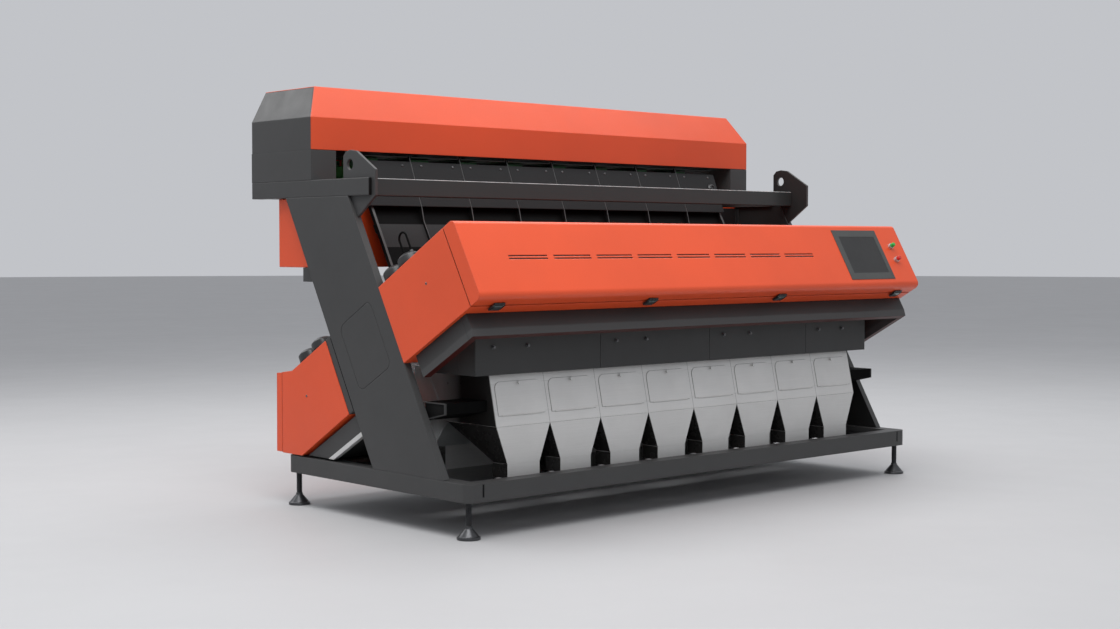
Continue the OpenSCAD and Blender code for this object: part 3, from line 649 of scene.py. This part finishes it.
for k, x in enumerate(LATCH_X, 1):
    v, s = -565.0, 566.0
    bm = bmesh.new()
    # pressed lever with a rolled finger edge
    prism(bm, rounded(68, 46, 6, cx=x, cy=v + 26), s - 4.2, s - 1.2, "Z", bev=0.6)
    prism(bm, [(v + 44, s - 4.4), (v + 48, s - 5.2), (v + 50.8, s - 7), (v + 49.6, s - 7), (v + 47, s - 6), (v + 43.4, s - 5.4)], x - 30, x + 30, "X")
    for i in (-1, 1):
        prism(bm, [(v + 3, s - 4), (v + 46, s - 4), (v + 44, s - 6.8), (v + 6, s - 6.8)], x + i * 33.4 - 0.6, x + i * 33.4 + 0.6, "X")
    for a, b in ((-30, -11), (-9.5, 9.5), (11, 30)):
        rings(bm, shift(x + a, v, s) @ turn(90, "Y"), 24, [(0, 0), (0, 3.3), (0.6, 3.9), (b - a - 0.6, 3.9), (b - a, 3.3), (b - a, 0)])
    piece(f"latch_lever_{k}", bm, M_PLASTIC, f"cover_latch_{k}", SLOPE, replaces=[f"cover_latch_{k}"])
    bm = bmesh.new()
    prism(bm, rounded(46, 30, 4, cx=x, cy=v + 25), s - 8.4, s - 4.3, "Z", bev=1.2)
    for i in (-1, 1):
        rings(bm, shift(x + i * 27.5, v + 10, s - 4.3) @ turn(180, "X"), 20, [(0, 0), (0, 3.2), (1.0, 2.9), (1.7, 1.9), (2, 0)])
    piece(f"latch_plate_{k}", bm, M_LATCH, f"cover_latch_{k}", SLOPE)

# rubber seal round the mouth of the front box
bm = bmesh.new()
for a, b in (((-1554, 940), (1554, 949)), ((-1554, 575), (1554, 584)), ((-1554, 584.2), (-1545, 939.8)), ((1545, 584.2), (1554, 939.8))):
    box(bm, (a[0], CV1 + 1.2, a[1]), (b[0], CV1 + 14, b[1]), 0.9)
piece("cover_seal", bm, M_RUBBER, "frame", SLOPE)

# black plugs in the ends of the arms, in the channel ends and in the rail slots, as painted shade in these recesses
bm = bmesh.new()
for i in (-1, 1):
    xa, xb = sorted((i * 1559.2, i * 1545.8))
    box(bm, (xa, -104.5, 1492), (xb, -101.6, 1571), 1.0)
    box(bm, (xa + 2, -105.3, 1497), (xb - 2, -104.6, 1566), 0.3)
    xa, xb = sorted((i * 1519, i * 1513))
    prism(bm, [(-462, 566.4), (-599.4, 566.4), (-599.4, 526.2), (-462, 495)], xa, xb, "X", bev=1.0)
    xa, xb = i * 1478 - 4.9, i * 1478 + 4.9
    box(bm, (xa, -814, 182.2), (xb, -810.2, 237.8), 0.6)
piece("end_shade_plugs", bm, M_SHADE_BLACK, "frame")

# black strip along the back edge of each upright, beside the rear box: a painted shadow line in the gap there
bm = bmesh.new()
for i in (-1, 1):
    xa, xb = sorted((i * 1559.4, i * 1540.2))
    box(bm, (xa, 450.6, 548), (xb, 457, 928), 1.2)
    box(bm, (xa + 3, 457.1, 552), (xb - 3, 459, 924), 0.6)
piece("upright_shadow_strips", bm, M_SHADE_BLACK, "frame", SLOPE)

# dark strip under each inspection door, a little wider than the door: a painted shadow line round the door
bm = bmesh.new()
for x in LANE:
    pts = [(x - 140.8, 47.4), (x + 140.8, 47.4)]
    pts += [(x + 106 + 34.8 * cos(radians(a)), 167 + 34.8 * sin(radians(a))) for a in range(0, 91, 9)]
    pts += [(x - 106 + 34.8 * cos(radians(a)), 167 + 34.8 * sin(radians(a))) for a in range(90, 181, 9)]
    prism(bm, pts, -0.34, -0.06, "Y")
piece("door_shadow_lines", bm, M_DOOR_SHADE, "frame", FACE)

# dark plates on the front of the rear cabinet, beside the chutes, as painted shade where that front lies in shadow,
# with a folded edge along the upright
bm = bmesh.new()
for i in (-1, 1):
    xa, xb = sorted((i * 1518, i * 1276))
    box(bm, (xa, 404, 1162), (xb, 409.8, 1484), 1.2)
    xa, xb = sorted((i * 1518, i * 1514))
    box(bm, (xa, 380, 1230), (xb, 403.9, 1484), 0.8)
piece("shade_closing_plates", bm, M_GUARD, "frame")

# ------------------------------------------------------------------ screws
bm = bmesh.new()
for k in range(4):
    for d in (102, 303):
        M = shift(PANEL_X[k] + d, -655.5, 813) @ turn(90, "X")
        rings(bm, M, 60, [(0, 0), (0, 8.6), (0.6, 9), (4.4, 9), (5, 8.6), (5, 6.6), (5.6, 6.6), (5.9, knurl(7, 0.5, 20)), (12.8, knurl(7, 0.5, 20)), (13.6, 6.2), (14, 5.2), (14, 2.4), (12.6, 2.0), (12.6, 0)])
for sx in (-1, 1):
    for y, z in ((-524.5, 1096), (411.5, 540)):
        M = shift(sx * HL, y, z) @ turn(sx * 90, "Y")
        rings(bm, M, 36, [(0, 0), (0, 6), (0.8, 5.9), (1.8, 5.0), (2.4, 3.6), (2.5, hexagon(4)), (1.0, hexagon(4)), (1.0, 0)])
for i in range(8):
    for j in (-1, 1):
        M = GUARD @ shift(LANE[i] + j * 101, 0, 220) @ turn(90, "X")
        rings(bm, M, 36, [(0, 0), (0, 6), (1.4, 6), (3.0, 5.2), (3.9, 3.8), (4, hexagon(4.4)), (1.8, hexagon(4.4)), (1.8, 0)])
piece("panel_screws_turned", bm, M_SCREW, "frame", replaces=["panel_screws"])

# bolts that hold the vibrator drives down on the feeder beds
bm = bmesh.new()
for x in LANE:
    for dx in (-70, 70):
        for y in (526, 822):
            M = shift(x + dx, y, 1590.1)
            rings(bm, M, 36, [(0, 0), (0, 9.4), (0.4, 9.8), (1.4, 9.8), (1.8, 9.4), (1.9, cut(hexagon(13), 7.2)), (2.4, hexagon(13)), (8.6, hexagon(13)), (9.4, cut(hexagon(13), 6.6)), (9.6, 5.6), (9.6, 0)])
piece("vibrator_bolts", bm, M_ZINC, "frame")

# ------------------------------------------------------------------ inside the boxes: lenses and lamp holders
bm = bmesh.new()
bg_ = bmesh.new()
for x in LANE:
    for M in (shift(x, -199, 760) @ turn(-90, "X"), shift(x, 699, 760) @ turn(90, "X")):
        loop_rings(bm, M, 60, [(-24, 22.2), (-24, knurl(24.6, 0.7, 30)), (-12, knurl(24.6, 0.7, 30)), (-11, 22.8), (-11, 22.2)])
        loop_rings(bm, M, 60, [(0.1, 16.8), (0.1, 22), (2.6, 22), (3.2, 21.2), (3.2, 18), (1.2, 16.8)])
        rings(bg_, M, 48, [(0.1, 0), (0.1, 16.4), (0.6, 16.4), (1.4, 13), (2.0, 8), (2.2, 3), (2.25, 0)])
piece("camera_lens_rings", bm, M_PLASTIC, "frame", SLOPE)
piece("camera_lens_glass", bg_, M_SCREEN, "frame", SLOPE)
bm = bmesh.new()
for v in (-60, 560):
    for s in (650, 870):
        for x in [-1551, 1538] + [(i - 4) * 320 - 6 for i in range(9)]:
            loop_rings(bm, shift(x, v, s) @ turn(90, "Y"), 40, [(0, 15.1), (0, 17.6), (0.8, 18.4), (12.2, 18.4), (13, 17.6), (13, 15.1)])
piece("lamp_holders", bm, M_PLASTIC, "frame", SLOPE)

# ------------------------------------------------------------------ levelling feet
for k, (x, y) in enumerate(FEET, 1):
    bm = bmesh.new()
    M = shift(x, y, 0)
    rings(bm, M, 64, [(0, 0), (0, 50), (1.5, 52), (9.5, 52), (12, 50.5), (13, 47), (18, 43.6), (26, 36.5), (34, 29.5), (40, 24.5), (44, 21), (46.5, 18.5), (48, 17), (50, 16.4), (56, 16.4), (57, 15.4), (57, 0)])
    thread(bm, M, 12.5, 13.9, 3.0, 55, 53)
    piece(f"foot_turned_{k}", bm, M_FOOT, f"levelling_foot_{k}", replaces=[f"levelling_foot_{k}"], sharp=40)
# ------------------------------------------------------------------ domed entries and the cable loop
bm = bmesh.new()


def dome(M):
    rows = [(0, 0), (0, 58), (6, 58), (7, 57), (8, 55.5), (11, 55.5), (12, 57), (13, 58), (42, 58), (45, 57.4)]
    for i in range(9):
        r = 56.5 - i * 2.2
        rows.append((math.sqrt(77.5 ** 2 - r * r) - 6, r))
    rows += [(61.6, 37.6), (62, 36.5), (62, 0)]
    rings(bm, M, 64, rows)
    for k in range(12):
        t = 2 * pi * k / 12
        q = M @ shift(52.0 * cos(t), 52.0 * sin(t), 0)
        box(bm, (-2.2, -2.2, 14), (5.6, 2.2, 40), 0.8, M=q @ turn(math.degrees(t), "Z"))


for v in (-190, -66):
    dome(SLOPE @ shift(-1490, v, BS1))
ra, rb = Vector((254.089, 811.030)), Vector((535.5, 655.0))
d = rb - ra
nn = Vector((-d.y, d.x)).normalized()
for k in (0.35, 0.74):
    p = ra + d * k + nn * 0.3
    dome(shift(-1490, p.x, p.y) @ turn(math.degrees(math.atan2(d.y, d.x)), "X"))
M = GUARD @ shift(1225, 0, 152) @ turn(90, "X")
rings(bm, M, 48, [(0, 0), (0, 28), (4.5, 28), (6, 26.5), (7, 25.5), (10, 23.5), (13, 19.5), (14, 18), (14, 13), (9, 12), (9, 0)])
for i in (-1, 1):
    # strain reliefs where the cable enters the dome
    M = SLOPE @ shift(-1490, -190 + 28 * i, BS1 + 62)
    loop_rings(bm, M, 32, [(0.1, 5.4), (0.1, 9), (2.5, 9), (3, 8.6), (4, 7.8), (9, 6.8), (9.6, 6.2), (9.6, 5.4)])
piece("domed_entries", bm, M_DOME, "frame", replaces=["gland_domes"])

cable = bpy.data.curves.new("cable_loop", "CURVE")
cable.dimensions = "3D"
cable.bevel_depth, cable.bevel_resolution, cable.use_fill_caps = 0.005, 4, True
route = [(28, 0.0)] + [(28, h) for h in (14, 28, 42, 56, 70)]
route += [(28 * cos(radians(a)), 84 + 28 * sin(radians(a))) for a in range(0, 181, 9)]
route += [(-28, h) for h in (70, 56, 42, 28, 14, 0)]
line = cable.splines.new("POLY")
line.points.add(len(route) - 1)
length, before = 0.0, None
for p, (v, h) in zip(line.points, route):
    q = (SLOPE @ Vector((-1490, -190 + v, BS1 + 62 + h))) * 0.001
    p.co = (*q, 1)
    length += (q - before).length if before is not None else 0
    before = q
cable_loop = bpy.data.objects.new("cable_loop", cable)
cable.materials.append(M_CABLE)
SCENE.collection.objects.link(cable_loop)
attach(cable_loop, "frame")
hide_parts("camera_cable")

# ------------------------------------------------------------------ stage, light and camera
floor = bpy.data.meshes.new("floor")
fb = bmesh.new()
bmesh.ops.create_circle(fb, cap_ends=True, radius=60, segments=96)
fb.to_mesh(floor)
fb.free()
ft = Tree("studio_floor")
ft.set(Base_Color=ft.ramp(ft.noise(0.6, 3, 0.5), [(0.3, (0.46, 0.46, 0.465)), (0.7, (0.48, 0.48, 0.485))]), Roughness=ft.span(ft.noise(3, 3, 0.5), 0.55, 0.65))
floor.materials.append(ft.m)
floor_o = bpy.data.objects.new("floor", floor)
floor_o.location.z = -0.0005
SCENE.collection.objects.link(floor_o)

world = bpy.data.worlds.new("studio")
SCENE.world = world
world.use_nodes = True
bg = world.node_tree.nodes.get("Background") or world.node_tree.nodes.new("ShaderNodeBackground")
bg.inputs["Color"].default_value = (0.93, 0.95, 1.0, 1)
bg.inputs["Strength"].default_value = 0.58


def area(name, at, to, size, power, color=(1, 1, 1)):
    l = bpy.data.lights.new(name, "AREA")
    l.shape, l.size, l.size_y, l.energy, l.color = "RECTANGLE", size[0], size[1], power, color
    o = bpy.data.objects.new(name, l)
    o.location = at
    o.rotation_euler = (Vector(to) - Vector(at)).to_track_quat("-Z", "Y").to_euler()
    SCENE.collection.objects.link(o)


area("overhead", (1.2, 0.9, 6.2), (1.2, 0.8, 0), (11, 4.5), 350)
area("rim", (-2.6, 6.0, 5.2), (0, 0, 1.4), (5, 2.5), 110)
area("front", (-3.0, -2.8, 6.4), (0, -0.4, 1.0), (4.5, 3.5), 250)

cam = bpy.data.cameras.new("camera")
cam.sensor_fit, cam.sensor_width, cam.lens = "HORIZONTAL", 36.0, 52.61
cam.clip_start, cam.clip_end = 0.05, 200
camera = bpy.data.objects.new("camera", cam)
camera.location = (-5.9421, -6.1879, 1.2636)
camera.rotation_euler = (radians(90 - 2.43), 0, radians(-42.41))
SCENE.collection.objects.link(camera)
SCENE.camera = camera
